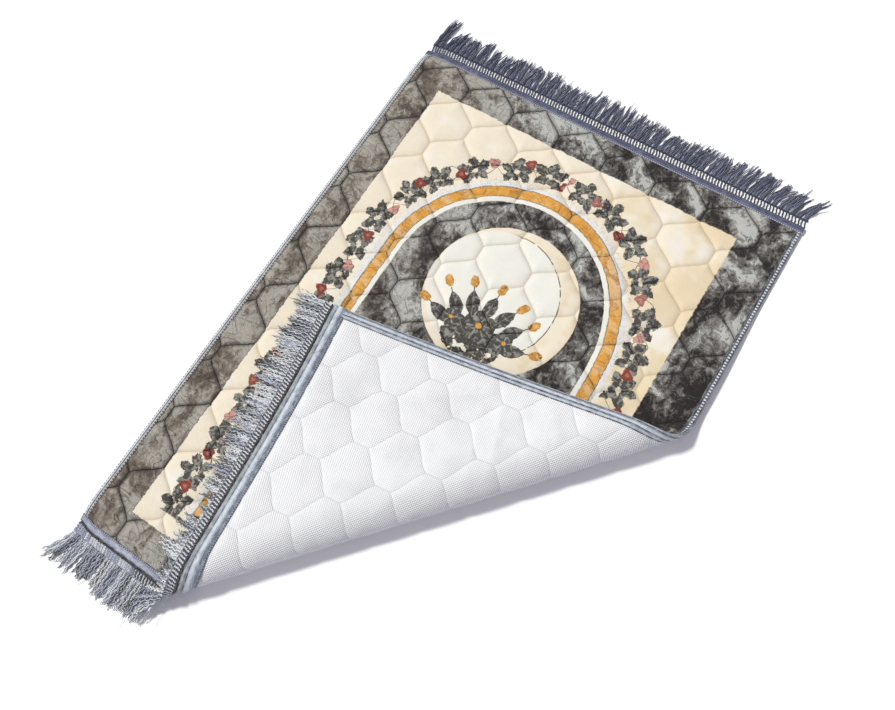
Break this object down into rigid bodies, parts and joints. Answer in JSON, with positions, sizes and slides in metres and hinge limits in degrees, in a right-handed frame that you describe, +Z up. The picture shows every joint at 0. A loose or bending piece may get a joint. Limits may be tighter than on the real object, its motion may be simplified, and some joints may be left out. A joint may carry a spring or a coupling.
{
  "type": "prayer rug",
  "caption": "Padded rectangular rug with an arched-niche print, hexagon quilting, bound sides and cord fringes at both ends, lying flat with one corner folded over its face.",
  "frame": {"origin": "on the floor under the middle of the rug's body, fringes and fold left out of account", "axes": "+X across the rug towards the side whose near corner is folded over, +Y along it towards the far fringe, where the arch points, +Z up from the floor"},
  "size_m": [0.8031, 1.2352, 0.0677],
  "materials": {
    "plush": "printed short plush, charcoal, cream and ochre",
    "back_cloth": "white non-slip cloth with a fine dotted weave",
    "binding": "satin woven tape with a zigzag stitch",
    "cord": "twisted rayon cord"
  },
  "bodies": {
    "root": {"pad": "plush", "backing": "back_cloth", "binding_left": "binding", "binding_right": "binding", "end_tape_near": "binding", "end_tape_far": "binding", "fringe_near": "cord", "fringe_far": "cord"}
  },
  "joints": []
}
